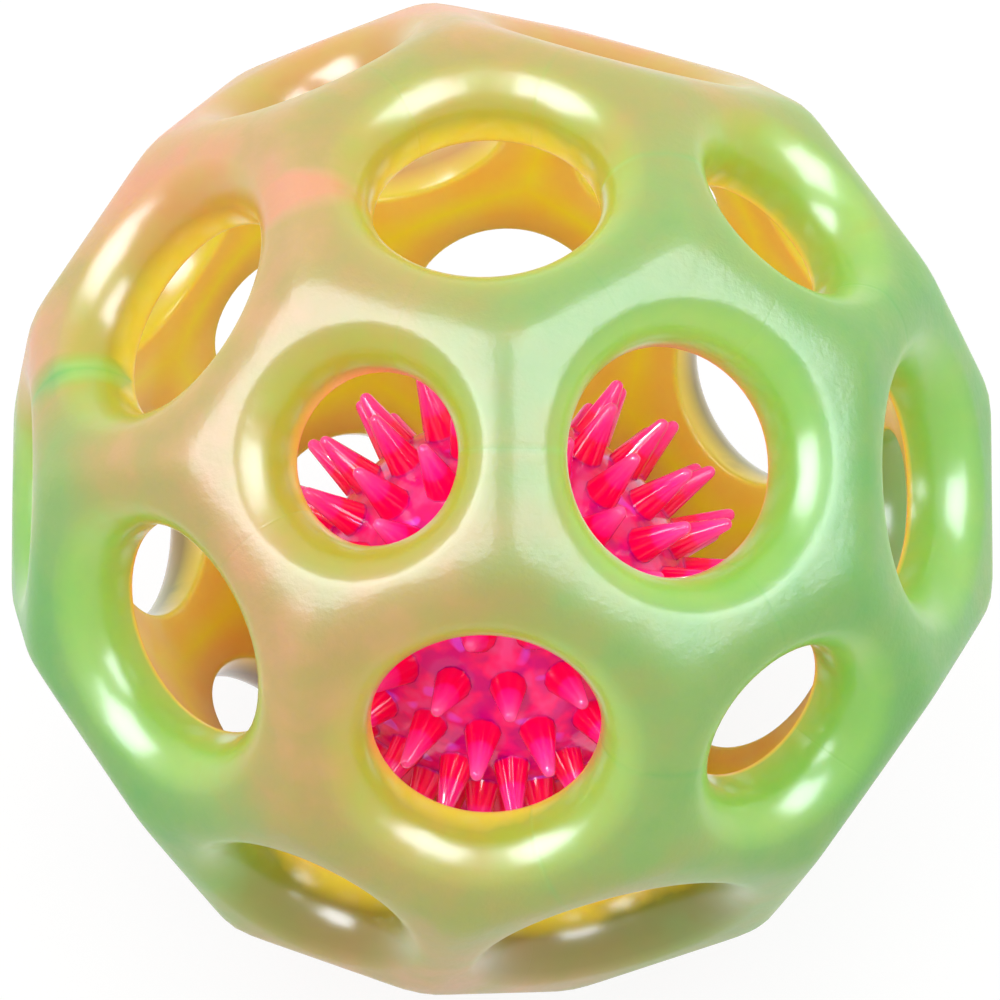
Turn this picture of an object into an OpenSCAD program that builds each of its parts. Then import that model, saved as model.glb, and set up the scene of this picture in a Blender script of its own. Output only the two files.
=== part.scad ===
// Light-up cage ball toy. A soft rubber cage with the faces of a football, twelve pentagons and twenty
// hexagons, has a flared round opening in every face. A spiky rubber ball lies loose inside it and holds
// a sealed capsule with a flashing light: button cells, a small board, two lamps and a spring switch that
// closes when the toy is shaken. The toy rests on one hexagon. The origin is the cage's centre, +Z is up.

/* [Cage] */
// Diameter of the cage across opposite corners
cage_diameter = 112; // [110:1:118]
// Diameter of the round hollow inside the cage
hollow_diameter = 91; // [90:0.5:95]
// Diameter of the opening in each pentagon
pentagon_opening = 17.8; // [14:0.2:18]
// Diameter of the opening in each hexagon
hexagon_opening = 23.6; // [21:0.2:24]
// Radius of the round lip that flares each opening outwards
lip_radius = 5.8; // [4.6:0.1:6]
// Slope at which the flared lip meets the flat of its face, in degrees
lip_slope = 18; // [10:1:30]
// Height taken off the sharp ridges between the faces
ridge_setback = 0.25; // [0.1:0.05:0.4]

/* [Spiky ball] */
// Diameter of the ball over the tips of its spikes
ball_over_spikes = 57.6; // [54:0.2:57.6]
// Diameter of the ball's round body
ball_body = 43; // [40:0.5:44]
// Diameter of a spike where it leaves the body
spike_root = 4.4; // [3:0.1:5]
// Diameter of a spike's rounded tip
spike_tip = 1.5; // [1.2:0.1:2.4]
// Rings of spikes on each half, the lone spike at the pole counted as one
spike_rings = 6; // [5:1:7]
// Turn of the spike rings about the ball's upright axis, in degrees
spike_turn = -94; // [-180:1:180]
// Height of the ball's centre below the cage's centre as it lies at the bottom
ball_drop = 18; // [16:0.1:18]

/* [Light capsule] */
// Outer diameter of the capsule
capsule_diameter = 22; // [22:0.5:24]
// Wall thickness of the capsule
capsule_wall = 1; // [0.8:0.1:1.2]
// Thickness of the circuit board
board_thickness = 1; // [0.8:0.1:1.6]
// Diameter of one button cell
cell_diameter = 7.9; // [6.8:0.1:7.9]
// Height of one button cell
cell_height = 3.6; // [2.6:0.1:3.6]
// Diameter of a lamp's lens
lamp_diameter = 3; // [2.6:0.1:3.2]
// Middle diameter of the switch spring's coil
spring_diameter = 3.2; // [3:0.1:3.6]
// Diameter of the switch spring's wire
spring_wire = 0.3; // [0.25:0.05:0.35]
// Rise of the switch spring in one turn
spring_pitch = 0.8; // [0.75:0.05:0.9]
// Turns of the switch spring
spring_turns = 7; // [5:1:8]

/* [Hidden] */
$fn = 48;
// Length by which a cutter runs past what it cuts
spare = 1;

// The twelve pentagons face the corners of an icosahedron and the twenty hexagons those of a
// dodecahedron. A hexagon is turned straight up, with a pentagon beside it towards +X.
golden = (1 + sqrt(5)) / 2;
signs = [-1, 1];
function unit(v) = v / norm(v);
function cyclic(a, b) = [[0, a, b], [a, b, 0], [b, 0, a]];
pentagon_corners = [for (s = signs, t = signs) each cyclic(s, t * golden)];
cube_corners = [for (x = signs, y = signs, z = signs) [x, y, z]];
hexagon_corners = concat(cube_corners, [for (s = signs, t = signs) each cyclic(s * golden, t / golden)]);
up = unit([1, 1, 1]);
beside = [golden, 0, 1];
east = unit(beside - (beside * up) * up);
north = cross(up, east);
function seated(v) = unit([v * east, v * north, v * up]);
pentagon_axes = [for (v = pentagon_corners) seated(v)];
hexagon_axes = [for (v = hexagon_corners) seated(v)];

// Distances of the faces and ridges from the centre, as shares of the sharp corner radius
edge_share = 4 / sqrt(58 + 18 * sqrt(5));
pentagon_share = edge_share * sqrt((125 + 41 * sqrt(5)) / 10) / 2;
hexagon_share = edge_share * sqrt(3 * (7 + 3 * sqrt(5)) / 2) / 2;
ridge_share = edge_share * 3 * (1 + sqrt(5)) / 4;
corner_radius = cage_diameter / 2 + ridge_setback;
pentagon_face = pentagon_share * corner_radius;
hexagon_face = hexagon_share * corner_radius;
ridge_face = ridge_share * corner_radius - ridge_setback;
// The ridge between a pentagon and a hexagon leans towards the pentagon
ridge_lean = sin(acos(hexagon_share / ridge_share)) / sin(acos(pentagon_share / ridge_share));

// Each opening's cutter starts this far inside the hollow
throat_depth = 8;

// A ridge runs between two faces whose axes lie close together
ridge_angle_limit = 45;
function close(a, b) = acos(min(1, a * b)) < ridge_angle_limit;
ridge_axes = concat(
    [for (p = pentagon_axes, h = hexagon_axes) if (close(p, h)) unit(ridge_lean * p + h)],
    [for (i = [0 : len(hexagon_axes) - 2], j = [i + 1 : len(hexagon_axes) - 1])
        if (close(hexagon_axes[i], hexagon_axes[j])) unit(hexagon_axes[i] + hexagon_axes[j])]
);
// One of each opposite pair of axes is enough for a slab with two faces
function is_upper(v) = v.z > 0.001 || (abs(v.z) <= 0.001 && v.y > 0);
function upper_half(axes) = [for (v = axes) if (is_upper(v)) v];

// Spiky ball
body_radius = ball_body / 2;
root_sink = 0.5;
spike_height = (ball_over_spikes - ball_body) / 2;
ring_step = 90 / (spike_rings - 0.5);
function ring_count(polar) = max(1, round(360 * sin(polar) / ring_step));
// The lower half is turned by half a step, so that its spikes stand between those of the upper half
lower_turn = spike_turn + 180 / ring_count((spike_rings - 1) * ring_step);

// Capsule heights, from the ball's centre: the board lies on a shoulder in the cup, under the lid
contact_thickness = 0.4;
stack_height = 3 * cell_height;
cup_floor = -stack_height - 2 * contact_thickness;
capsule_end = -cup_floor + capsule_wall;
capsule_radius = capsule_diameter / 2;
shoulder_width = 1;
board_gap = 0.2;
cup_bore = capsule_radius - capsule_wall - shoulder_width;
board_radius = capsule_radius - capsule_wall - board_gap;
pocket_gap = 0.2;
board_top = board_thickness;
sleeve_gap = 0.2;
sleeve_wall = 1;
sleeve_bore = cell_diameter / 2 + sleeve_gap;
contact_width = 2.4;
lead_side = 0.5;
lead_hole = 0.9;
lead_spacing = 1.27;
lead_tail = 1.2;
lamp_places = [[-5.6, 3], [5.6, 3]];
lamp_height = 4;
lamp_flange = 0.8;
flange_height = 0.9;
chip_place = [0, 5];
chip_radius = 2.2;
chip_height = 1.2;
spring_place = [0, -4.2];
spring_lift = 0.9;
post_height = 0.45;
post_radius = 0.9;
pin_radius = 0.4;
pin_clearance = 1.2;
pin_gap = 0.1;
coil_height = spring_turns * spring_pitch;

// Turns +Z onto a given axis
module facing(v) {
    rotate([0, acos(v.z), atan2(v.y, v.x)]) children();
}

// Places its children where the ball lies at the bottom of the cage
module in_ball() {
    translate([0, 0, -ball_drop]) children();
}

// A slab with two faces at the same distance from the centre
module slab(v, face) {
    facing(v) cube([4 * corner_radius, 4 * corner_radius, 2 * face], center = true);
}

// The cutter for one opening: a straight throat that flares out over a round lip to the face
module flared_opening(v, face, radius) {
    lip_centre = face - lip_radius * cos(lip_slope);
    start = hollow_diameter / 2 - throat_depth;
    facing(v)
        rotate_extrude()
            difference() {
                translate([0, start]) square([radius + lip_radius, corner_radius - start]);
                translate([radius, start]) square([lip_radius, lip_centre - start]);
                translate([radius + lip_radius, lip_centre]) circle(lip_radius);
            }
}

// The cage is one soft moulding: flat faces, blunted ridges, a round hollow and an opening in each face
module cage() {
    color("palegoldenrod")
        difference() {
            intersection() {
                intersection_for (v = upper_half(pentagon_axes)) slab(v, pentagon_face);
                intersection_for (v = upper_half(hexagon_axes)) slab(v, hexagon_face);
                intersection_for (v = upper_half(ridge_axes)) slab(v, ridge_face);
            }
            sphere(d = hollow_diameter);
            for (v = pentagon_axes) flared_opening(v, pentagon_face, pentagon_opening / 2);
            for (v = hexagon_axes) flared_opening(v, hexagon_face, hexagon_opening / 2);
        }
}

// One tapered spike with a round tip, standing on z = 0
module spike() {
    tip_radius = spike_tip / 2;
    cone_height = spike_height + root_sink - tip_radius;
    rotate_extrude() {
        polygon([[0, 0], [spike_root / 2, 0], [tip_radius, cone_height], [0, cone_height]]);
        translate([0, cone_height])
            intersection() {
                circle(tip_radius);
                square(tip_radius);
            }
    }
}

// Half of the spiky ball: a half round body with rings of spikes and half of the capsule's pocket
module spiky_half() {
    difference() {
        union() {
            intersection() {
                sphere(body_radius);
                translate([-body_radius, -body_radius, 0]) cube([ball_body, ball_body, body_radius]);
            }
            for (ring = [0 : spike_rings - 1]) {
                polar = ring * ring_step;
                count = ring_count(polar);
                for (i = [0 : count - 1])
                    rotate([0, polar, 360 * (i + ring / 2) / count])
                        translate([0, 0, body_radius - root_sink])
                            spike();
            }
        }
        cylinder(r = capsule_radius + pocket_gap, h = 2 * capsule_end, center = true);
    }
}

module spiky_shell_upper() {
    color("deeppink") in_ball() rotate(spike_turn) spiky_half();
}

module spiky_shell_lower() {
    color("deeppink") in_ball() mirror([0, 0, 1]) rotate(lower_turn) spiky_half();
}

// Clear cup: a shoulder inside its rim carries the board
module capsule_cup() {
    color("whitesmoke", 0.6)
        in_ball()
            rotate_extrude()
                polygon([
                    [0, -capsule_end], [capsule_radius, -capsule_end], [capsule_radius, board_top],
                    [cup_bore + shoulder_width, board_top], [cup_bore + shoulder_width, 0],
                    [cup_bore, 0], [cup_bore, cup_floor], [0, cup_floor]
                ]);
}

// Clear lid: its rim closes the cup and holds the board down
module capsule_lid() {
    color("whitesmoke", 0.6)
        in_ball()
            rotate_extrude()
                polygon([
                    [0, capsule_end], [capsule_radius, capsule_end], [capsule_radius, board_top],
                    [cup_bore, board_top], [cup_bore, capsule_end - capsule_wall],
                    [0, capsule_end - capsule_wall]
                ]);
}

// The two lead positions of one lamp
function lead_places(lamp) = [for (s = signs) [lamp.x, lamp.y + s * lead_spacing]];
all_leads = [for (lamp = lamp_places) each lead_places(lamp)];

// Round board with holes for the lamps' leads
module circuit_board() {
    color("seagreen")
        in_ball()
            difference() {
                cylinder(r = board_radius, h = board_thickness);
                for (place = all_leads)
                    translate([place.x, place.y, -board_thickness])
                        cylinder(d = lead_hole, h = 3 * board_thickness);
            }
}

// Drop of black resin over the flasher chip
module driver_chip() {
    drop_radius = (chip_radius * chip_radius + chip_height * chip_height) / (2 * chip_height);
    color("black")
        in_ball()
            translate([chip_place.x, chip_place.y, board_top])
                intersection() {
                    translate([0, 0, chip_height - drop_radius]) sphere(drop_radius);
                    cylinder(r = chip_radius + spare, h = chip_height + spare);
                }
}

// Lamp with a flange on the board and a domed lens
module lamp(place) {
    lens_radius = lamp_diameter / 2;
    in_ball()
        translate([place.x, place.y, board_top])
            rotate_extrude() {
                square([lens_radius + lamp_flange / 2, flange_height]);
                translate([0, flange_height]) square([lens_radius, lamp_height - lens_radius - flange_height]);
                translate([0, lamp_height - lens_radius])
                    intersection() {
                        circle(lens_radius);
                        square(lens_radius);
                    }
            }
}

module red_lamp() {
    color("red") lamp(lamp_places[0]);
}

module blue_lamp() {
    color("royalblue") lamp(lamp_places[1]);
}

// Square wire leads that run from the lamps down through the board
module lamp_leads() {
    length = board_thickness + lead_tail;
    color("silver")
        in_ball()
            for (place = all_leads)
                translate([place.x - lead_side / 2, place.y - lead_side / 2, board_top - length])
                    cube([lead_side, lead_side, length]);
}

// Sleeve that holds the cells in a stack, slotted on one side for the lower contact's strip
module cell_sleeve() {
    color("ghostwhite")
        in_ball()
            difference() {
                translate([0, 0, cup_floor]) cylinder(r = sleeve_bore + sleeve_wall, h = -cup_floor);
                translate([0, 0, cup_floor - spare]) cylinder(r = sleeve_bore, h = 2 * spare - cup_floor);
                translate([0, -contact_width / 2 - sleeve_gap, cup_floor - spare])
                    cube([cell_diameter, contact_width + 2 * sleeve_gap, 2 * spare - cup_floor]);
            }
}

// Button cell: a wide can with a smaller raised cap on top
module cell(level) {
    cap_height = 0.4;
    cap_share = 0.78;
    can_radius = cell_diameter / 2;
    color("lightgray")
        in_ball()
            translate([0, 0, cup_floor + contact_thickness + level * cell_height]) {
                cylinder(r = can_radius, h = cell_height - cap_height);
                cylinder(r = cap_share * can_radius, h = cell_height);
            }
}

module lower_cell() {
    cell(0);
}

module middle_cell() {
    cell(1);
}

module upper_cell() {
    cell(2);
}

// Spring-metal disc between the stack and the board
module positive_contact() {
    color("gold")
        in_ball()
            translate([0, 0, -contact_thickness])
                cylinder(r = sleeve_bore - sleeve_gap, h = contact_thickness);
}

// Disc under the stack with a strip that rises through the sleeve's slot to the board
module negative_contact() {
    strip_start = sleeve_bore + sleeve_wall / 2 - contact_thickness / 2;
    color("gold")
        in_ball()
            translate([0, 0, cup_floor]) {
                cylinder(r = sleeve_bore - sleeve_gap, h = contact_thickness);
                translate([0, -contact_width / 2, 0])
                    cube([strip_start + contact_thickness, contact_width, contact_thickness]);
                translate([strip_start, -contact_width / 2, 0])
                    cube([contact_thickness, contact_width, -cup_floor]);
            }
}

// One unbroken tube of six sides swept along the coil, with eight rings to each turn
coil_sides = 6;
rings_per_turn = 8;
coil_rings = spring_turns * rings_per_turn;
function coil_angle(ring) = 360 * ring / rings_per_turn;
function coil_point(ring) = [
    spring_diameter / 2 * cos(coil_angle(ring)),
    spring_diameter / 2 * sin(coil_angle(ring)),
    spring_pitch * ring / rings_per_turn
];
function wire_point(ring, side) =
    let (out = [cos(coil_angle(ring)), sin(coil_angle(ring)), 0], turn = 360 * side / coil_sides)
    coil_point(ring) + spring_wire / 2 * (cos(turn) * out + sin(turn) * [0, 0, 1]);
coil_gap = min([
    for (i = [0 : coil_rings], j = [0 : coil_rings])
        if (j >= i + rings_per_turn / 2) norm(coil_point(i) - coil_point(j))
]) - spring_wire;
echo(least_gap_between_spring_turns_mm = coil_gap);

module coil() {
    points = [for (ring = [0 : coil_rings], side = [0 : coil_sides - 1]) wire_point(ring, side)];
    last = coil_rings * coil_sides;
    sides = [
        for (ring = [0 : coil_rings - 1], side = [0 : coil_sides - 1])
            let (a = ring * coil_sides + side, b = ring * coil_sides + (side + 1) % coil_sides)
            each [[a, b + coil_sides, b], [a, a + coil_sides, b + coil_sides]]
    ];
    ends = [
        for (side = [1 : coil_sides - 2])
            each [[0, side, side + 1], [last, last + side + 1, last + side]]
    ];
    polyhedron(points = points, faces = concat(sides, ends));
}

// Coil that leans over and touches the pin when the toy is shaken
module motion_spring() {
    color("silver")
        in_ball()
            translate([spring_place.x, spring_place.y, board_top + spring_lift])
                coil();
}

// Small round pad on the board that the coil stands on
module spring_post() {
    color("gold")
        in_ball()
            translate([spring_place.x, spring_place.y, board_top])
                difference() {
                    cylinder(r = post_radius, h = post_height);
                    translate([0, 0, -post_height]) cylinder(r = pin_radius + pin_gap, h = 3 * post_height);
                }
}

// Pin that stands in the middle of the coil without touching it at rest
module contact_pin() {
    color("silver")
        in_ball()
            translate([spring_place.x, spring_place.y, board_top])
                cylinder(r = pin_radius, h = spring_lift + coil_height + pin_clearance);
}

cage();
spiky_shell_upper();
spiky_shell_lower();
capsule_cup();
capsule_lid();
circuit_board();
driver_chip();
red_lamp();
blue_lamp();
lamp_leads();
cell_sleeve();
lower_cell();
middle_cell();
upper_cell();
positive_contact();
negative_contact();
motion_spring();
spring_post();
contact_pin();
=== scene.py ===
"""Light-up cage ball toy: a football of pearl rubber struts with a spiky ball loose inside it."""

import math
import random

import bmesh
import bpy
from mathutils import Matrix, Vector


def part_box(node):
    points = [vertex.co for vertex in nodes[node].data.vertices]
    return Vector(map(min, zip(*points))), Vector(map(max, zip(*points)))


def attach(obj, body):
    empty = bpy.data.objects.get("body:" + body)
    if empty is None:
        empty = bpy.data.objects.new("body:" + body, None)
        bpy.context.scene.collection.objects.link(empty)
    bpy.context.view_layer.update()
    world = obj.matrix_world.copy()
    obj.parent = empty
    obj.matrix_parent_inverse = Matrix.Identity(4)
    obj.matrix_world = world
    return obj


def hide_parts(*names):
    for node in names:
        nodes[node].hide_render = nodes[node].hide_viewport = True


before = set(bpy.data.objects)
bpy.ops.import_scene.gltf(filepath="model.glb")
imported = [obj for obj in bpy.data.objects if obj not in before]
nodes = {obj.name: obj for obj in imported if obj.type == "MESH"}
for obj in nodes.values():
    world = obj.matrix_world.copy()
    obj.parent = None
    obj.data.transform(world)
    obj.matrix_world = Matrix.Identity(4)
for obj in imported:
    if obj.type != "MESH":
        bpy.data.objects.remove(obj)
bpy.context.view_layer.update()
MM = 0.001


# Circuit board: a round green board of glass fibre and resin, with thin copper tracks under its lacquer.
# It lies on a shoulder inside the clear cup and carries every other piece of the light.
board_green = (0.03, 0.22, 0.09)
track_green = (0.08, 0.36, 0.14)
track_size = 1.6 * MM
track_height = 0.03 * MM
weave_size = 0.4 * MM


def new_finish(name):
    """A finish that starts as one surface shader, with the piece's own coordinates to hand."""
    finish = bpy.data.materials.new(name)
    finish.use_nodes = True
    tree = finish.node_tree
    place = tree.nodes.new("ShaderNodeTexCoord").outputs["Object"]
    return finish, tree, tree.nodes["Principled BSDF"], place


def speckle(tree, place, size, detail=2.0):
    """Soft noise from 0 to 1 with lumps of about the given size in metres."""
    noise = tree.nodes.new("ShaderNodeTexNoise")
    noise.inputs["Scale"].default_value = 1 / size
    noise.inputs["Detail"].default_value = detail
    tree.links.new(place, noise.inputs["Vector"])
    return noise.outputs["Fac"]


def spread(tree, value, low, high, first, last):
    """The value carried from the range low to high over to the range first to last, and held at its ends."""
    span = tree.nodes.new("ShaderNodeMapRange")
    tree.links.new(value, span.inputs["Value"])
    for socket, number in zip(("From Min", "From Max", "To Min", "To Max"), (low, high, first, last)):
        span.inputs[socket].default_value = number
    return span.outputs["Result"]


def tint(tree, value, *stops):
    """The colour that belongs to a value, from stops of (value, colour) in rising order."""
    ramp = tree.nodes.new("ShaderNodeValToRGB")
    elements = ramp.color_ramp.elements
    elements[0].position, elements[1].position = stops[0][0], stops[-1][0]
    for position, _ in stops[1:-1]:
        elements.new(position)
    for element, (_, colour) in zip(elements, stops):
        element.color = (*colour, 1)
    tree.links.new(value, ramp.inputs["Fac"])
    return ramp.outputs["Color"]


def emboss(tree, surface, height, depth):
    """Raises the surface by the given depth in metres where the height is 1."""
    bump = tree.nodes.new("ShaderNodeBump")
    bump.inputs["Distance"].default_value = depth
    tree.links.new(height, bump.inputs["Height"])
    for socket in ("Normal", "Coat Normal"):
        tree.links.new(bump.outputs["Normal"], surface.inputs[socket])


def dress(finish, *names):
    """Gives CAD nodes their finish."""
    for name in names:
        nodes[name].data.materials.clear()
        nodes[name].data.materials.append(finish)


board, tree, surface, place = new_finish("green_board_finish")
tracks = spread(tree, speckle(tree, place, track_size, 0), 0.47, 0.53, 0, 1)
tree.links.new(tint(tree, tracks, (0, board_green), (1, track_green)), surface.inputs["Base Color"])
weave = speckle(tree, place, weave_size)
tree.links.new(spread(tree, weave, 0, 1, 0.25, 0.45), surface.inputs["Roughness"])
emboss(tree, surface, tracks, track_height)
surface.inputs["Coat Weight"].default_value = 0.4
dress(board, "circuit_board")


# Driver chip: a drop of black epoxy that was poured over the flasher chip and has set on the board.
# Its skin is glossy and a little uneven.
resin_black = (0.008, 0.008, 0.009)
resin_grey = (0.02, 0.02, 0.022)
ripple_size = 0.9 * MM
ripple_height = 0.06 * MM

resin, tree, surface, place = new_finish("black_resin_finish")
ripple = speckle(tree, place, ripple_size)
tree.links.new(tint(tree, ripple, (0.3, resin_black), (0.8, resin_grey)), surface.inputs["Base Color"])
tree.links.new(spread(tree, ripple, 0.2, 0.8, 0.18, 0.35), surface.inputs["Roughness"])
emboss(tree, surface, ripple, ripple_height)
dress(resin, "driver_chip")


# Lamps: two light-emitting diodes with domed lenses of tinted clear epoxy, one red and one blue.
# A faint cloud shows where the lens holds its tiny reflector cup.
lens_cloud_size = 1.2 * MM
lens_clearness = 0.75
epoxy_index = 1.52


def lens_finish(name, deep, pale):
    """Tinted clear epoxy."""
    finish, tree, surface, place = new_finish(name)
    cloud = speckle(tree, place, lens_cloud_size)
    tree.links.new(tint(tree, cloud, (0.3, deep), (0.75, pale)), surface.inputs["Base Color"])
    tree.links.new(spread(tree, cloud, 0.2, 0.8, 0.04, 0.14), surface.inputs["Roughness"])
    surface.inputs["Transmission Weight"].default_value = lens_clearness
    surface.inputs["IOR"].default_value = epoxy_index
    return finish


dress(lens_finish("red_lens_finish", (0.75, 0.01, 0.01), (0.95, 0.10, 0.06)), "red_lamp")
dress(lens_finish("blue_lens_finish", (0.02, 0.06, 0.70), (0.10, 0.25, 0.95)), "blue_lamp")


# Metal pieces: tinned leads under the lamps, three steel button cells, brass contacts at both ends of
# their stack, the brass pad of the spring and the bright pin inside it.
film_per_scratch = 8
scratch_depth = 0.01 * MM


def metal_finish(name, bright, dull, grain, roughness):
    """Bare metal with fine scratches and a duller film in patches."""
    finish, tree, surface, place = new_finish(name)
    film = speckle(tree, place, film_per_scratch * grain)
    scratches = speckle(tree, place, grain, 4)
    tree.links.new(tint(tree, film, (0.35, bright), (0.75, dull)), surface.inputs["Base Color"])
    tree.links.new(spread(tree, scratches, 0.3, 0.7, *roughness), surface.inputs["Roughness"])
    emboss(tree, surface, scratches, scratch_depth)
    surface.inputs["Metallic"].default_value = 1.0
    return finish


dress(metal_finish("tinned_wire_finish", (0.78, 0.78, 0.76), (0.60, 0.60, 0.58), 0.12 * MM, (0.25, 0.42)),
      "lamp_leads", "contact_pin")
dress(metal_finish("cell_steel_finish", (0.72, 0.73, 0.74), (0.58, 0.59, 0.61), 0.25 * MM, (0.18, 0.34)),
      "lower_cell", "middle_cell", "upper_cell")
dress(metal_finish("contact_brass_finish", (0.83, 0.62, 0.27), (0.62, 0.43, 0.17), 0.2 * MM, (0.22, 0.40)),
      "positive_contact", "negative_contact", "spring_post")


# Cell sleeve: a slotted tube moulded from white plastic, which keeps the cells in a stack.
# Its skin has the faint grain of the mould.
sleeve_shade = (0.80, 0.80, 0.77)
sleeve_white = (0.87, 0.87, 0.85)
sleeve_grain_size = 0.3 * MM
sleeve_grain_height = 0.02 * MM

sleeve, tree, surface, place = new_finish("white_plastic_finish")
grain = speckle(tree, place, sleeve_grain_size)
tree.links.new(tint(tree, grain, (0.2, sleeve_shade), (0.8, sleeve_white)), surface.inputs["Base Color"])
tree.links.new(spread(tree, grain, 0, 1, 0.36, 0.5), surface.inputs["Roughness"])
emboss(tree, surface, grain, sleeve_grain_height)
dress(sleeve, "cell_sleeve")


# Motion spring: a coil of thin spring steel round the contact pin. When the toy is shaken it leans over,
# touches the pin and closes the circuit. It is wound here as one round wire with flat cut ends.
spring_low, spring_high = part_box("motion_spring")
wire_radius = 0.15 * MM
wire_sides = 10
coil_radius = (spring_high.x - spring_low.x) / 2 - wire_radius
coil_turns = 7
steps_per_turn = 24
coil_rise = spring_high.z - spring_low.z - 2 * wire_radius
coil_foot = Vector((0, (spring_low.y + spring_high.y) / 2, spring_low.z + wire_radius))
crisp_angle = math.radians(60)


def finish_piece(name, mesh, finish, body, material_slot, *replaced):
    """Makes a piece from its bmesh, gives it its finish and rides it on the body that carries it."""
    bmesh.ops.recalc_face_normals(mesh, faces=mesh.faces)
    for face in mesh.faces:
        face.smooth = True
    for edge in mesh.edges:
        edge.smooth = edge.calc_face_angle(0) < crisp_angle
    data = bpy.data.meshes.new(name)
    mesh.to_mesh(data)
    mesh.free()
    data.materials.append(finish)
    piece = bpy.data.objects.new(name, data)
    bpy.context.scene.collection.objects.link(piece)
    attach(piece, body)
    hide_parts(*replaced)
    return piece


coil = bmesh.new()
bmesh.ops.create_circle(
    coil, cap_ends=True, segments=wire_sides, radius=wire_radius,
    matrix=Matrix.Translation((coil_radius, 0, 0)) @ Matrix.Rotation(math.radians(90), 4, "X"),
)
coil_steps = coil_turns * steps_per_turn
bmesh.ops.spin(
    coil, geom=coil.faces[:], cent=(0, 0, 0), axis=(0, 0, 1), angle=coil_turns * math.tau,
    dvec=(0, 0, coil_rise / coil_steps), steps=coil_steps, use_merge=False, use_duplicate=False,
)
bmesh.ops.translate(coil, verts=coil.verts, vec=coil_foot)
spring_steel = metal_finish(
    "spring_steel_finish", (0.70, 0.71, 0.73), (0.52, 0.53, 0.56), 0.1 * MM, (0.2, 0.36),
)
finish_piece("switch_coil", coil, spring_steel, "spring", "spring_steel", "motion_spring")


# Capsule: a cup and a lid of clear hard plastic, pressed together round the board to keep the water out.
# The plastic is clear with a slight haze where it left the mould.
clear_shade = (0.93, 0.95, 0.95)
clear_white = (0.97, 0.98, 0.98)
haze_size = 2.5 * MM
clear_plastic_index = 1.49

clear, tree, surface, place = new_finish("clear_plastic_finish")
haze = speckle(tree, place, haze_size)
tree.links.new(tint(tree, haze, (0.3, clear_shade), (0.8, clear_white)), surface.inputs["Base Color"])
tree.links.new(spread(tree, haze, 0.2, 0.8, 0.03, 0.12), surface.inputs["Roughness"])
surface.inputs["Transmission Weight"].default_value = 1.0
surface.inputs["IOR"].default_value = clear_plastic_index
dress(clear, "capsule_cup", "capsule_lid")


# Spiky ball: two half shells of see-through pink rubber, moulded with rings of tapered spikes and bonded
# round the capsule. The spikes are painted red where they grow out of the body, a painted glow of light
# refracted in the clear rubber, and paler at their tips, painted light shining through them. The body
# between them is mottled, with a few violet spots of painted glint.
upper_low, upper_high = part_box("spiky_shell_upper")
ball_centre = Vector((0, 0, upper_low.z))
spike_reach = upper_high.z - upper_low.z
body_radius = 21.5 * MM
body_sides = 64
body_steps = 24
pocket_radius = 11.2 * MM
pocket_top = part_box("capsule_lid")[1].z - ball_centre.z
spike_root = 2.2 * MM
spike_tip = 0.75 * MM
root_sink = 0.5 * MM
spike_rings = 6
spike_sides = 12
ring_step = math.radians(90) / (spike_rings - 0.5)
spike_turn = math.radians(-94)
weld_distance = 0.001 * MM

wine_pink = (0.62, 0.0, 0.24)
body_pink = (0.88, 0.005, 0.22)
soft_pink = (0.84, 0.04, 0.30)
# Painted glints: the violet spots in the body stand for light caught inside the clear rubber.
deep_violet_glint = (0.74, 0.05, 0.78)
pale_violet_glint = (0.86, 0.07, 0.72)
# Painted light on the spikes: the red at their roots stands for light refracted inside the clear rubber, and
# the paler pink at their tips stands for light shining through them.
root_glow_red = (0.98, 0.0, 0.10)
stem_pink = (1.0, 0.005, 0.26)
upper_pink = (1.0, 0.02, 0.32)
see_through_tip_pink = (1.0, 0.07, 0.36)
mottle_size = 3 * MM
glint_spot_size = 2.4 * MM
gloss_grain_size = 0.8 * MM
ball_scatter = 1.5 * MM


def ring_count(polar):
    """How many spikes stand in the ring at an angle from the pole."""
    return max(1, round(math.tau * math.sin(polar) / ring_step))


lower_turn = spike_turn + math.pi / ring_count((spike_rings - 1) * ring_step)


def draw_line(mesh, points):
    """A chain of edges through points in the XZ plane."""
    corners = [mesh.verts.new((x, 0, z)) for x, z in points]
    for start, end in zip(corners, corners[1:]):
        mesh.edges.new((start, end))


def turn_round(mesh, steps):
    """Spins what has been drawn once round the Z axis."""
    bmesh.ops.spin(
        mesh, geom=mesh.verts[:] + mesh.edges[:], cent=(0, 0, 0), axis=(0, 0, 1), angle=math.tau,
        steps=steps, use_merge=True, use_duplicate=False,
    )
    bmesh.ops.remove_doubles(mesh, verts=mesh.verts, dist=weld_distance)


def half_shell():
    """The half round body with half of the capsule's pocket, and its bonded face on z = 0."""
    shell = bmesh.new()
    arc = [math.radians(90) * step / body_steps for step in range(body_steps + 1)]
    outside = [(body_radius * math.sin(a), body_radius * math.cos(a)) for a in arc]
    pocket = [(pocket_radius, 0), (pocket_radius, pocket_top), (0, pocket_top)]
    draw_line(shell, outside + pocket)
    turn_round(shell, body_sides)
    return shell


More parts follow.
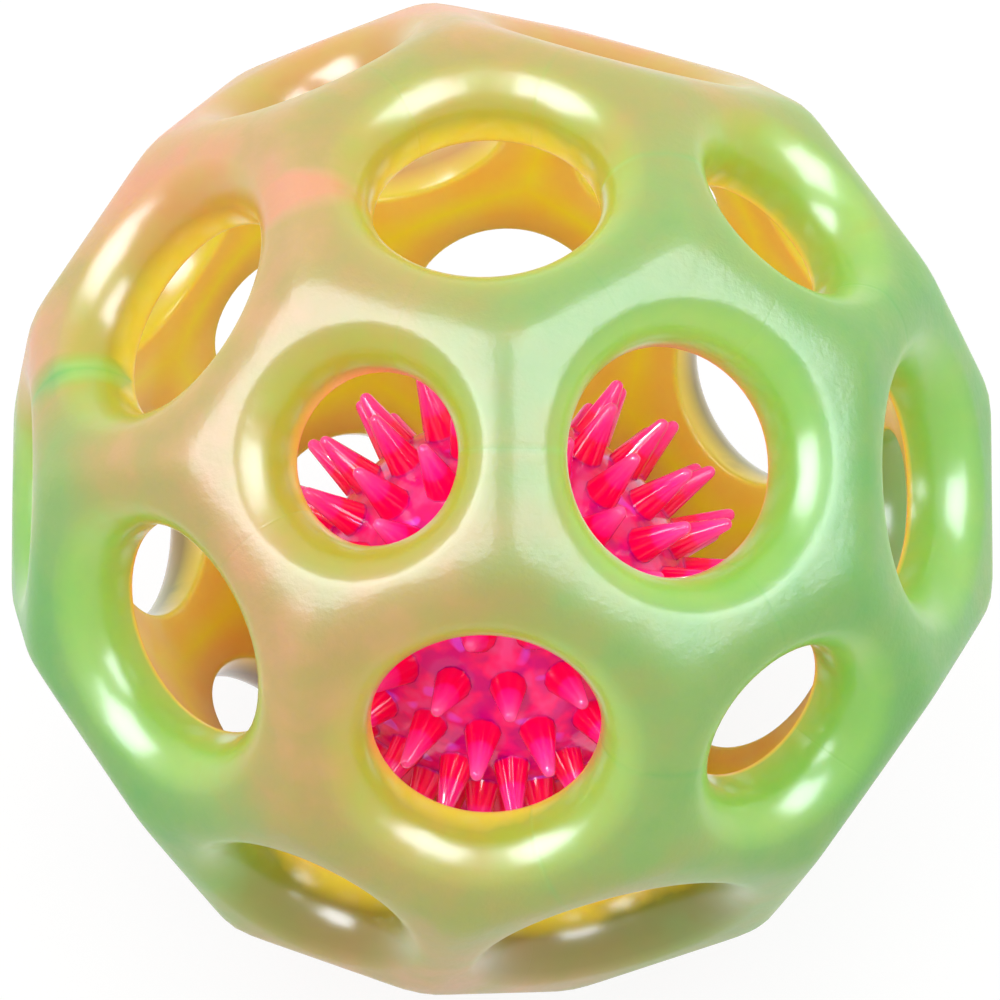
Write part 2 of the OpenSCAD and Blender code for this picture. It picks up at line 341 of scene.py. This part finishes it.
def add_spikes(shell, turn):
    """One spike is turned, and its copies are set round the body in rings."""
    spike = bmesh.new()
    foot = body_radius - root_sink
    tip_turns = [math.radians(angle) for angle in (10, 40, 65, 90)]
    tip = [(spike_tip * math.cos(a), spike_reach - spike_tip * (1 - math.sin(a))) for a in tip_turns]
    draw_line(spike, [(0, foot), (spike_root, foot)] + tip)
    turn_round(spike, spike_sides)
    pattern = bpy.data.meshes.new("spike_pattern")
    for ring in range(spike_rings):
        polar = ring * ring_step
        count = ring_count(polar)
        for number in range(count):
            azimuth = turn + math.tau * (number + ring / 2) / count
            set_down = Matrix.Rotation(azimuth, 4, "Z") @ Matrix.Rotation(polar, 4, "Y")
            copied = spike.copy()
            bmesh.ops.transform(copied, matrix=set_down, verts=copied.verts)
            copied.to_mesh(pattern)
            copied.free()
            shell.from_mesh(pattern)
    spike.free()
    bpy.data.meshes.remove(pattern)


def distance_from(tree, place, middle):
    """How far a point of the piece lies from the middle, in metres."""
    reach = tree.nodes.new("ShaderNodeVectorMath")
    reach.operation = "DISTANCE"
    reach.inputs[1].default_value = middle
    tree.links.new(place, reach.inputs[0])
    return reach.outputs["Value"]


def blend_in(tree, share, start, end):
    """One colour that gives way to another as the share goes from 0 to 1."""
    start_socket, end_socket, result_socket = 6, 7, 2
    mix = tree.nodes.new("ShaderNodeMix")
    mix.data_type = "RGBA"
    tree.links.new(share, mix.inputs["Factor"])
    tree.links.new(start, mix.inputs[start_socket])
    tree.links.new(end, mix.inputs[end_socket])
    return mix.outputs[result_socket]


pink, tree, surface, place = new_finish("pink_rubber_finish")
along_spike = spread(tree, distance_from(tree, place, ball_centre), body_radius, spike_reach, 0, 1)
mottle = speckle(tree, place, mottle_size)
body_colour = tint(tree, mottle, (0.35, wine_pink), (0.5, body_pink), (0.65, soft_pink))
# Painted glints: a few violet spots laid over the mottled body.
violet = tint(tree, mottle, (0.4, deep_violet_glint), (0.6, pale_violet_glint))
violet_glints = spread(tree, speckle(tree, place, glint_spot_size, 0), 0.69, 0.78, 0, 0.9)
body_colour = blend_in(tree, violet_glints, body_colour, violet)
# Painted light: red at the spikes' roots for the refracted glow, and paler towards the tips for light seen
# through them.
spike_colour_and_glow = tint(
    tree, along_spike,
    (0.0, root_glow_red), (0.36, root_glow_red), (0.43, stem_pink), (0.7, upper_pink), (1.0, see_through_tip_pink),
)
on_spike = spread(tree, along_spike, 0.015, 0.04, 0, 1)
tree.links.new(blend_in(tree, on_spike, body_colour, spike_colour_and_glow), surface.inputs["Base Color"])
gloss_grain = speckle(tree, place, gloss_grain_size)
tree.links.new(spread(tree, gloss_grain, 0.2, 0.8, 0.06, 0.14), surface.inputs["Roughness"])
surface.inputs["Subsurface Weight"].default_value = 0.5
surface.inputs["Subsurface Radius"].default_value = (1.0, 0.15, 0.35)
surface.inputs["Subsurface Scale"].default_value = ball_scatter
surface.inputs["IOR"].default_value = 1.33
surface.inputs["Coat Weight"].default_value = 0.3
surface.inputs["Coat Roughness"].default_value = 0.04

ball_pieces = bpy.data.collections.new("ball_pieces")
for half_name, node, flip, turn in (
    ("spiky_half_upper", "spiky_shell_upper", 1, spike_turn),
    ("spiky_half_lower", "spiky_shell_lower", -1, lower_turn),
):
    half = half_shell()
    add_spikes(half, turn)
    bmesh.ops.scale(half, vec=(1, 1, flip), verts=half.verts)
    bmesh.ops.translate(half, verts=half.verts, vec=ball_centre)
    ball_pieces.objects.link(finish_piece(half_name, half, pink, "ball", "pink_rubber", node))


# Cage: one soft moulding of pearl rubber in the form of a football, twelve pentagons and twenty hexagons,
# each with a round opening that flares out over a soft lip. Peach and green rubber run into each other in
# the mould and leave fine lines across the struts where two streams met.
cage_low, cage_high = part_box("cage")
skin_depth = 0.02 * MM
hexagon_face = cage_high.z - skin_depth
hollow_radius = 45.5 * MM
pentagon_opening = 8.9 * MM
hexagon_opening = 11.8 * MM
lip_radius = 5.8 * MM
lip_slope = math.radians(18)
lip_steps = 4
ridge_setback = 0.36 * MM
ridge_hold = 1.5 * MM
crease_hold = 0.5 * MM
rim_round = 0.5 * MM
rim_bend = 0.15 * rim_round
rim_reach = 4 * rim_round
edge_pieces = 6
third_of_edge = 100 / 3
inset_start = 0.01 * MM
seam_weld = 0.005 * MM

cage = bmesh.new()
bmesh.ops.create_icosphere(cage, subdivisions=1, radius=1.0)
bmesh.ops.bevel(
    cage, geom=cage.verts[:], offset=third_of_edge, offset_type="PERCENT", affect="VERTICES",
    segments=1, profile=0.5, material=-1,
)

# A hexagon is turned straight up, with a pentagon beside it towards +X, and the football gets its size
hexagons = (face for face in cage.faces if len(face.verts) == 6)
top = max(hexagons, key=lambda face: face.calc_center_median().z)
up = top.calc_center_median().normalized()
beside = max(
    (face.calc_center_median().normalized() for face in cage.faces if len(face.verts) == 5),
    key=lambda middle: middle.dot(up),
)
east = (beside - beside.dot(up) * up).normalized()
seat = Matrix((east, up.cross(east), up)).to_4x4()
grow = Matrix.Scale(hexagon_face / top.calc_center_median().length, 4)
bmesh.ops.transform(cage, matrix=grow @ seat, verts=cage.verts)
bmesh.ops.bisect_edges(cage, edges=cage.edges[:], cuts=edge_pieces - 1)


def on_hollow(radius):
    """The height of the hollow's sphere at a distance from an opening's axis."""
    return math.sqrt(hollow_radius ** 2 - radius ** 2)


def opening_rings(face_height, inradius, opening):
    """Rings from the flat over the lip, down the throat and out over the hollow, as (share of the face's
    outline or None, radius, height, flatness, nearness to the inner rim)."""
    lip_height = face_height - lip_radius * math.cos(lip_slope)
    crease = opening + lip_radius * (1 - math.sin(lip_slope))
    rings = [
        (1 - ridge_hold / inradius, None, face_height, 1, 0),
        (None, crease + crease_hold, face_height, 0.9, 0),
    ]
    for step in range(lip_steps + 1):
        angle = lip_slope + (math.radians(90) - lip_slope) * step / lip_steps
        radius = opening + lip_radius * (1 - math.sin(angle))
        height = lip_height + lip_radius * math.cos(angle)
        rings.append((None, radius, height, max(0, 0.6 - 0.5 * step), 0))
    rings.append((None, opening, on_hollow(opening) + rim_round, 0, 0))
    rings.append((None, opening + rim_bend, on_hollow(opening) + rim_bend, 0, 0.5))
    rings.append((None, opening + rim_round, on_hollow(opening + rim_round), 0, 1))
    rings.append((None, opening + rim_reach, on_hollow(opening + rim_reach), 0, 0.8))
    return rings


# Streams of rubber met half way along the struts. Six of these lines are strong, at the places given in mm,
# and the others are faint, by a draw.
stream_ends = ((-1, -28, 46), (-18, 3, 51), (19, 3, 51), (13, -49, 19), (-46, -1, 28), (46, 5, 28))
stream_reach = 7 * MM
middle_slack = 1.001
knit_draw = random.Random(3)

flat = cage.verts.layers.float.new("flat")
rim = cage.verts.layers.float.new("rim")
knit = cage.verts.layers.float.new("knit")
faces = cage.faces[:]
outlines = {}
heights = {}
for face in faces:
    axis = face.calc_center_median().normalized()
    spokes = [vert.co - vert.co.dot(axis) * axis for vert in face.verts]
    outlines[face] = (axis, spokes, [vert.co.normalized() for vert in face.verts])
    heights[face] = face.calc_center_median().length
shortest = {face: min(spoke.length for spoke in outlines[face][1]) for face in faces}
for face in faces:
    for vert, spoke in zip(face.verts, outlines[face][1]):
        if vert[knit] == 0 and spoke.length < shortest[face] * middle_slack:
            meeting = any((vert.co - Vector(end) * MM).length < stream_reach for end in stream_ends)
            vert[knit] = 1.0 if meeting else knit_draw.uniform(0.4, 0.93)
lines = {face: [vert[knit] for vert in face.verts] for face in faces}
for vert in cage.verts:
    vert.co -= ridge_setback * vert.co.normalized()
    vert[flat] = 1
for sides, opening in ((5, pentagon_opening), (6, hexagon_opening)):
    group = [face for face in faces if len(face.verts) == sides * edge_pieces]
    face_height = heights[group[0]]
    for share, radius, height, flatness, nearness in opening_rings(face_height, shortest[group[0]], opening):
        bmesh.ops.inset_individual(cage, faces=group, thickness=inset_start, use_even_offset=True)
        for face in group:
            axis, spokes, _ = outlines[face]
            for vert, spoke, line in zip(face.verts, spokes, lines[face]):
                vert.co = axis * height + (spoke * share if share else spoke.normalized() * radius)
                vert[knit] = line
                vert[flat] = flatness
                vert[rim] = nearness
    bmesh.ops.inset_individual(cage, faces=group, thickness=inset_start, use_even_offset=True)
    for face in group:
        for vert, outwards in zip(face.verts, outlines[face][2]):
            vert.co = outwards * hollow_radius
            vert[knit] = vert[flat] = vert[rim] = 0
bmesh.ops.delete(cage, geom=faces, context="FACES_ONLY")
bmesh.ops.remove_doubles(cage, verts=cage.verts, dist=seam_weld)

# The rubber turns greener along a slope, with pools of colour and two stained lines, each as (middle in mm,
# radius in mm, how much greener). Below these are the colours for each greenness.
greener_way = (0.73, -0.82, 0.02)
slope_start, slope_end = -16 * MM, 38 * MM
colour_pools = (
    ((-55, -10, -1), 48, 1.4), ((-10, -50, 23), 38, -0.6), ((-2, -49, -25), 40, -0.8),
    ((-53, 3, 17), 17, -0.9), ((-9, 14, 53), 25, 0.35),
)
stained_lines = (((-19, 3, 51), 12, -0.6), ((-46, -1, 28), 12, 0.7))
marble_size = 16 * MM
swirl_size = 5 * MM
flat_colours = (
    (0.0, (0.70, 0.34, 0.20)), (0.15, (0.60, 0.37, 0.18)), (0.32, (0.46, 0.37, 0.12)),
    (0.5, (0.36, 0.40, 0.11)), (0.7, (0.26, 0.44, 0.12)), (1.0, (0.15, 0.42, 0.10)),
)
funnel_colours = (
    (0.0, (0.60, 0.34, 0.08)), (0.15, (0.56, 0.40, 0.07)), (0.32, (0.48, 0.45, 0.05)),
    (0.5, (0.40, 0.52, 0.05)), (0.7, (0.36, 0.62, 0.12)), (1.0, (0.26, 0.59, 0.10)),
)
# Painted shade: the funnels low on the cage darken towards these olive colours, for lips that face the floor
# and lie in shade.
shaded_funnel_colours = (
    (0.0, (0.30, 0.18, 0.02)), (0.5, (0.20, 0.22, 0.01)), (1.0, (0.14, 0.32, 0.05)),
)
funnel_shade_depth = -22 * MM
# Inside the hollow the colour is partly the rubber's own and partly painted light: its bright amber, more
# orange near the openings' rims, stands for the glow of light seeping through the walls.
hollow_glow_colours = ((0.35, (1.0, 0.82, 0.05)), (0.65, (0.97, 0.94, 0.06)))
rim_glow_colours = ((0.35, (1.0, 0.58, 0.12)), (0.65, (1.0, 0.68, 0.18)))
cloud_size = 12 * MM
throat_start = 45.6 * MM
amber_end = 49.0 * MM
green_end = 46.4 * MM
wave_size = 9 * MM
grain_size = 0.7 * MM
relief_depth = 0.3 * MM
cage_scatter = 22 * MM


def add_up(tree, *values):
    """The sum of several values."""
    total = values[0]
    for value in values[1:]:
        adder = tree.nodes.new("ShaderNodeMath")
        tree.links.new(total, adder.inputs[0])
        tree.links.new(value, adder.inputs[1])
        total = adder.outputs["Value"]
    return total


def times(tree, first, second):
    """The product of two values."""
    product = tree.nodes.new("ShaderNodeMath")
    product.operation = "MULTIPLY"
    tree.links.new(first, product.inputs[0])
    tree.links.new(second, product.inputs[1])
    return product.outputs["Value"]


def patch(tree, place, middle, radius, amount):
    """A soft round patch of the given amount that fades out at its radius, with its sizes in mm."""
    return spread(tree, distance_from(tree, place, Vector(middle) * MM), 0, radius * MM, amount, 0)


def layer(tree, name):
    """The value that the mesh carries under a name."""
    attribute = tree.nodes.new("ShaderNodeAttribute")
    attribute.attribute_name = name
    return attribute.outputs["Fac"]


pearl, tree, surface, place = new_finish("pearl_rubber_finish")
run = tree.nodes.new("ShaderNodeVectorMath")
run.operation = "DOT_PRODUCT"
run.inputs[1].default_value = greener_way
tree.links.new(place, run.inputs[0])
knit_value = layer(tree, "knit")
pools = [patch(tree, place, *pool) for pool in colour_pools]
stains = [times(tree, knit_value, patch(tree, place, *stain)) for stain in stained_lines]
greenness = add_up(
    tree,
    spread(tree, run.outputs["Value"], slope_start, slope_end, 0.05, 0.95),
    spread(tree, speckle(tree, place, marble_size, 3), 0.3, 0.7, -0.1, 0.1),
    spread(tree, speckle(tree, place, swirl_size, 3), 0.3, 0.7, -0.07, 0.07),
    *pools, *stains,
    spread(tree, knit_value, 0.8, 1.0, 0, 0.1),
)
flats = tint(tree, greenness, *flat_colours)
axes = tree.nodes.new("ShaderNodeSeparateXYZ")
tree.links.new(place, axes.inputs[0])
# Painted shade: the funnels below the middle of the cage give way to the darker shaded colours.
funnel_shade = spread(tree, axes.outputs["Z"], funnel_shade_depth, 0, 0.9, 0)
high_funnels = tint(tree, greenness, *funnel_colours)
funnels = blend_in(tree, funnel_shade, high_funnels, tint(tree, greenness, *shaded_funnel_colours))
clouds = speckle(tree, place, cloud_size)
# Painted glow: the hollow and its rims take the bright amber of light seeping through the rubber.
hollow = tint(tree, clouds, *hollow_glow_colours)
inside = blend_in(tree, layer(tree, "rim"), hollow, tint(tree, clouds, *rim_glow_colours))
depth = distance_from(tree, place, (0, 0, 0))
amber_edge = spread(tree, depth, throat_start, amber_end, 0, 1)
green_edge = spread(tree, depth, throat_start, green_end, 0, 1)
throat = add_up(tree, amber_edge, times(tree, green_edge, spread(tree, greenness, 0.4, 0.8, 0, 1)))
on_flat = layer(tree, "flat")
pearl_colour = blend_in(tree, on_flat, blend_in(tree, throat, inside, funnels), flats)
tree.links.new(pearl_colour, surface.inputs["Base Color"])
waves = speckle(tree, place, wave_size)
grain = times(tree, speckle(tree, place, grain_size, 3), spread(tree, on_flat, 0, 1, 0.003, 0.16))
tree.links.new(add_up(tree, spread(tree, on_flat, 0, 1, 0.3, 0.46), grain), surface.inputs["Roughness"])
knit_line = spread(tree, knit_value, 0.8, 1.0, 0, -0.1)
emboss(tree, surface, add_up(tree, waves, grain, knit_line), relief_depth)
surface.inputs["IOR"].default_value = 1.45
surface.inputs["Subsurface Weight"].default_value = 1.0
surface.inputs["Subsurface Radius"].default_value = (1.0, 0.75, 0.2)
surface.inputs["Subsurface Scale"].default_value = cage_scatter
tree.links.new(spread(tree, on_flat, 0, 1, 1.0, 0.5), surface.inputs["Coat Weight"])
surface.inputs["Coat Roughness"].default_value = 0.25

football = finish_piece("football_cage", cage, pearl, "cage", "pearl_rubber", "cage")
smoothing = football.modifiers.new("soft_edges", "SUBSURF")
smoothing.levels = smoothing.render_levels = 1


# Studio: a white floor under the cage and white surroundings that light it from all sides.
# The floor keeps a light shadow of the toy.
floor_size = 6.0
floor_grey = (0.44, 0.44, 0.44, 1)
shadow_grey = (0.14, 0.14, 0.14, 1)
floor_glow = 0.87
fill_strength = 1.2

floor_mesh = bmesh.new()
bmesh.ops.create_grid(floor_mesh, x_segments=1, y_segments=1, size=floor_size / 2)
bmesh.ops.translate(floor_mesh, verts=floor_mesh.verts, vec=(0, 0, cage_low.z))
floor_data = bpy.data.meshes.new("floor")
floor_mesh.to_mesh(floor_data)
floor_mesh.free()
floor = bpy.data.objects.new("floor", floor_data)
bpy.context.scene.collection.objects.link(floor)


def seen_directly(tree):
    """1 for the rays that show the background: straight from the camera, reflected or refracted."""
    rays = tree.nodes.new("ShaderNodeLightPath")
    total = rays.outputs["Is Camera Ray"]
    for name in ("Is Glossy Ray", "Is Transmission Ray"):
        either = tree.nodes.new("ShaderNodeMath")
        either.operation = "MAXIMUM"
        tree.links.new(total, either.inputs[0])
        tree.links.new(rays.outputs[name], either.inputs[1])
        total = either.outputs["Value"]
    return total


paper = bpy.data.materials.new("white_floor")
paper.use_nodes = True
tree = paper.node_tree
tree.nodes.clear()
output = tree.nodes.new("ShaderNodeOutputMaterial")
matt = tree.nodes.new("ShaderNodeBsdfDiffuse")
matt.inputs["Color"].default_value = floor_grey
shadow = tree.nodes.new("ShaderNodeBsdfDiffuse")
shadow.inputs["Color"].default_value = shadow_grey
glow = tree.nodes.new("ShaderNodeEmission")
glow.inputs["Strength"].default_value = floor_glow
lit = tree.nodes.new("ShaderNodeAddShader")
choice = tree.nodes.new("ShaderNodeMixShader")
tree.links.new(shadow.outputs[0], lit.inputs[0])
tree.links.new(glow.outputs[0], lit.inputs[1])
tree.links.new(seen_directly(tree), choice.inputs[0])
tree.links.new(matt.outputs[0], choice.inputs[1])
tree.links.new(lit.outputs[0], choice.inputs[2])
tree.links.new(choice.outputs[0], output.inputs["Surface"])
floor_data.materials.append(paper)

world = bpy.data.worlds.new("white_studio")
bpy.context.scene.world = world
world.use_nodes = True
tree = world.node_tree
tree.nodes.clear()
output = tree.nodes.new("ShaderNodeOutputWorld")
fill = tree.nodes.new("ShaderNodeBackground")
fill.inputs["Strength"].default_value = fill_strength
white = tree.nodes.new("ShaderNodeBackground")
for background in (fill, white):
    background.inputs["Color"].default_value = (1, 1, 1, 1)
choice = tree.nodes.new("ShaderNodeMixShader")
tree.links.new(seen_directly(tree), choice.inputs[0])
tree.links.new(fill.outputs[0], choice.inputs[1])
tree.links.new(white.outputs[0], choice.inputs[2])
tree.links.new(choice.outputs[0], output.inputs["Surface"])


# Camera: a long lens a little left of the front, looking down on the toy and rolled slightly.
# Its place is given along its own axes, from the middle of the cage.
camera_turn = math.radians(-4.97)
camera_elevation = math.radians(49.47)
camera_roll = math.radians(-2.2)
camera_place = Vector((0.23, -0.07, 446)) * MM
lens_length = 144.1

camera_data = bpy.data.cameras.new("camera")
camera_data.lens = lens_length
camera_data.sensor_width = 36
camera_data.clip_start = 0.01
camera = bpy.data.objects.new("camera", camera_data)
bpy.context.scene.collection.objects.link(camera)
aim = (
    Matrix.Rotation(camera_turn, 4, "Z")
    @ Matrix.Rotation(math.radians(90) - camera_elevation, 4, "X")
    @ Matrix.Rotation(camera_roll, 4, "Z")
)
camera.matrix_world = aim @ Matrix.Translation(camera_place)
bpy.context.scene.camera = camera


# Soft boxes: a broad one on each side of the camera and a weak narrow one between them, a little above it,
# as the bright crescents on the lips show. Three more lamps light the spiky ball alone, and a small warm
# lamp in the hollow stands for the light that seeps through the rubber.
box_distance = 0.6
box_elevation = 17
box_height = 0.40
cool_white = (0.85, 0.9, 1.0)
lilac = (0.75, 0.45, 1.0)
warm_white = (1.0, 0.92, 0.7)
seeping_power = 0.012
seeping_size = 0.02
seeping_place = (0, 0, 0.01)


def soft_box(name, azimuth, elevation, size, brightness, in_gloss_only):
    """A rectangular lamp aimed at the toy, placed by its angles in degrees from the camera's own axis."""
    lamp = bpy.data.lights.new(name, "AREA")
    lamp.shape = "RECTANGLE"
    lamp.size, lamp.size_y = size
    lamp.energy = brightness * math.pi * size[0] * size[1]
    box = bpy.data.objects.new(name, lamp)
    bpy.context.scene.collection.objects.link(box)
    box.matrix_world = (
        aim
        @ Matrix.Rotation(math.radians(azimuth), 4, "Y")
        @ Matrix.Rotation(-math.radians(elevation), 4, "X")
        @ Matrix.Translation((0, 0, box_distance))
    )
    box.visible_camera = False
    box.visible_diffuse = not in_gloss_only
    return box


for name, azimuth, width, brightness in (
    ("soft_box_left", -38, 0.46, 12.0),
    ("soft_box_middle", -3, 0.16, 1.0),
    ("soft_box_right", 32, 0.46, 10.5),
):
    box = soft_box(name, azimuth, box_elevation, (width, box_height), brightness, True)
    box.data.color = cool_white

ball_box = soft_box("ball_box", -8, 8, (0.30, 0.30), 14.0, False)
ball_glint = soft_box("ball_glint", -28, 32, (0.05, 0.20), 240.0, True)
lilac_glint = soft_box("lilac_glint", 24, -16, (0.08, 0.08), 50.0, True)
lilac_glint.data.color = lilac
no_blockers = bpy.data.collections.new("no_blockers")
for box in (ball_box, ball_glint, lilac_glint):
    box.light_linking.receiver_collection = ball_pieces
    box.light_linking.blocker_collection = no_blockers

hollow_light = bpy.data.lights.new("hollow_light", "POINT")
hollow_light.energy = seeping_power
hollow_light.shadow_soft_size = seeping_size
hollow_light.color = warm_white
seeping = bpy.data.objects.new("hollow_light", hollow_light)
bpy.context.scene.collection.objects.link(seeping)
seeping.location = seeping_place
seeping.visible_camera = seeping.visible_glossy = seeping.visible_transmission = False
cage_pieces = bpy.data.collections.new("cage_pieces")
cage_pieces.objects.link(football)
seeping.light_linking.receiver_collection = cage_pieces
seeping.light_linking.blocker_collection = cage_pieces

bpy.context.scene.view_settings.view_transform = "Standard"
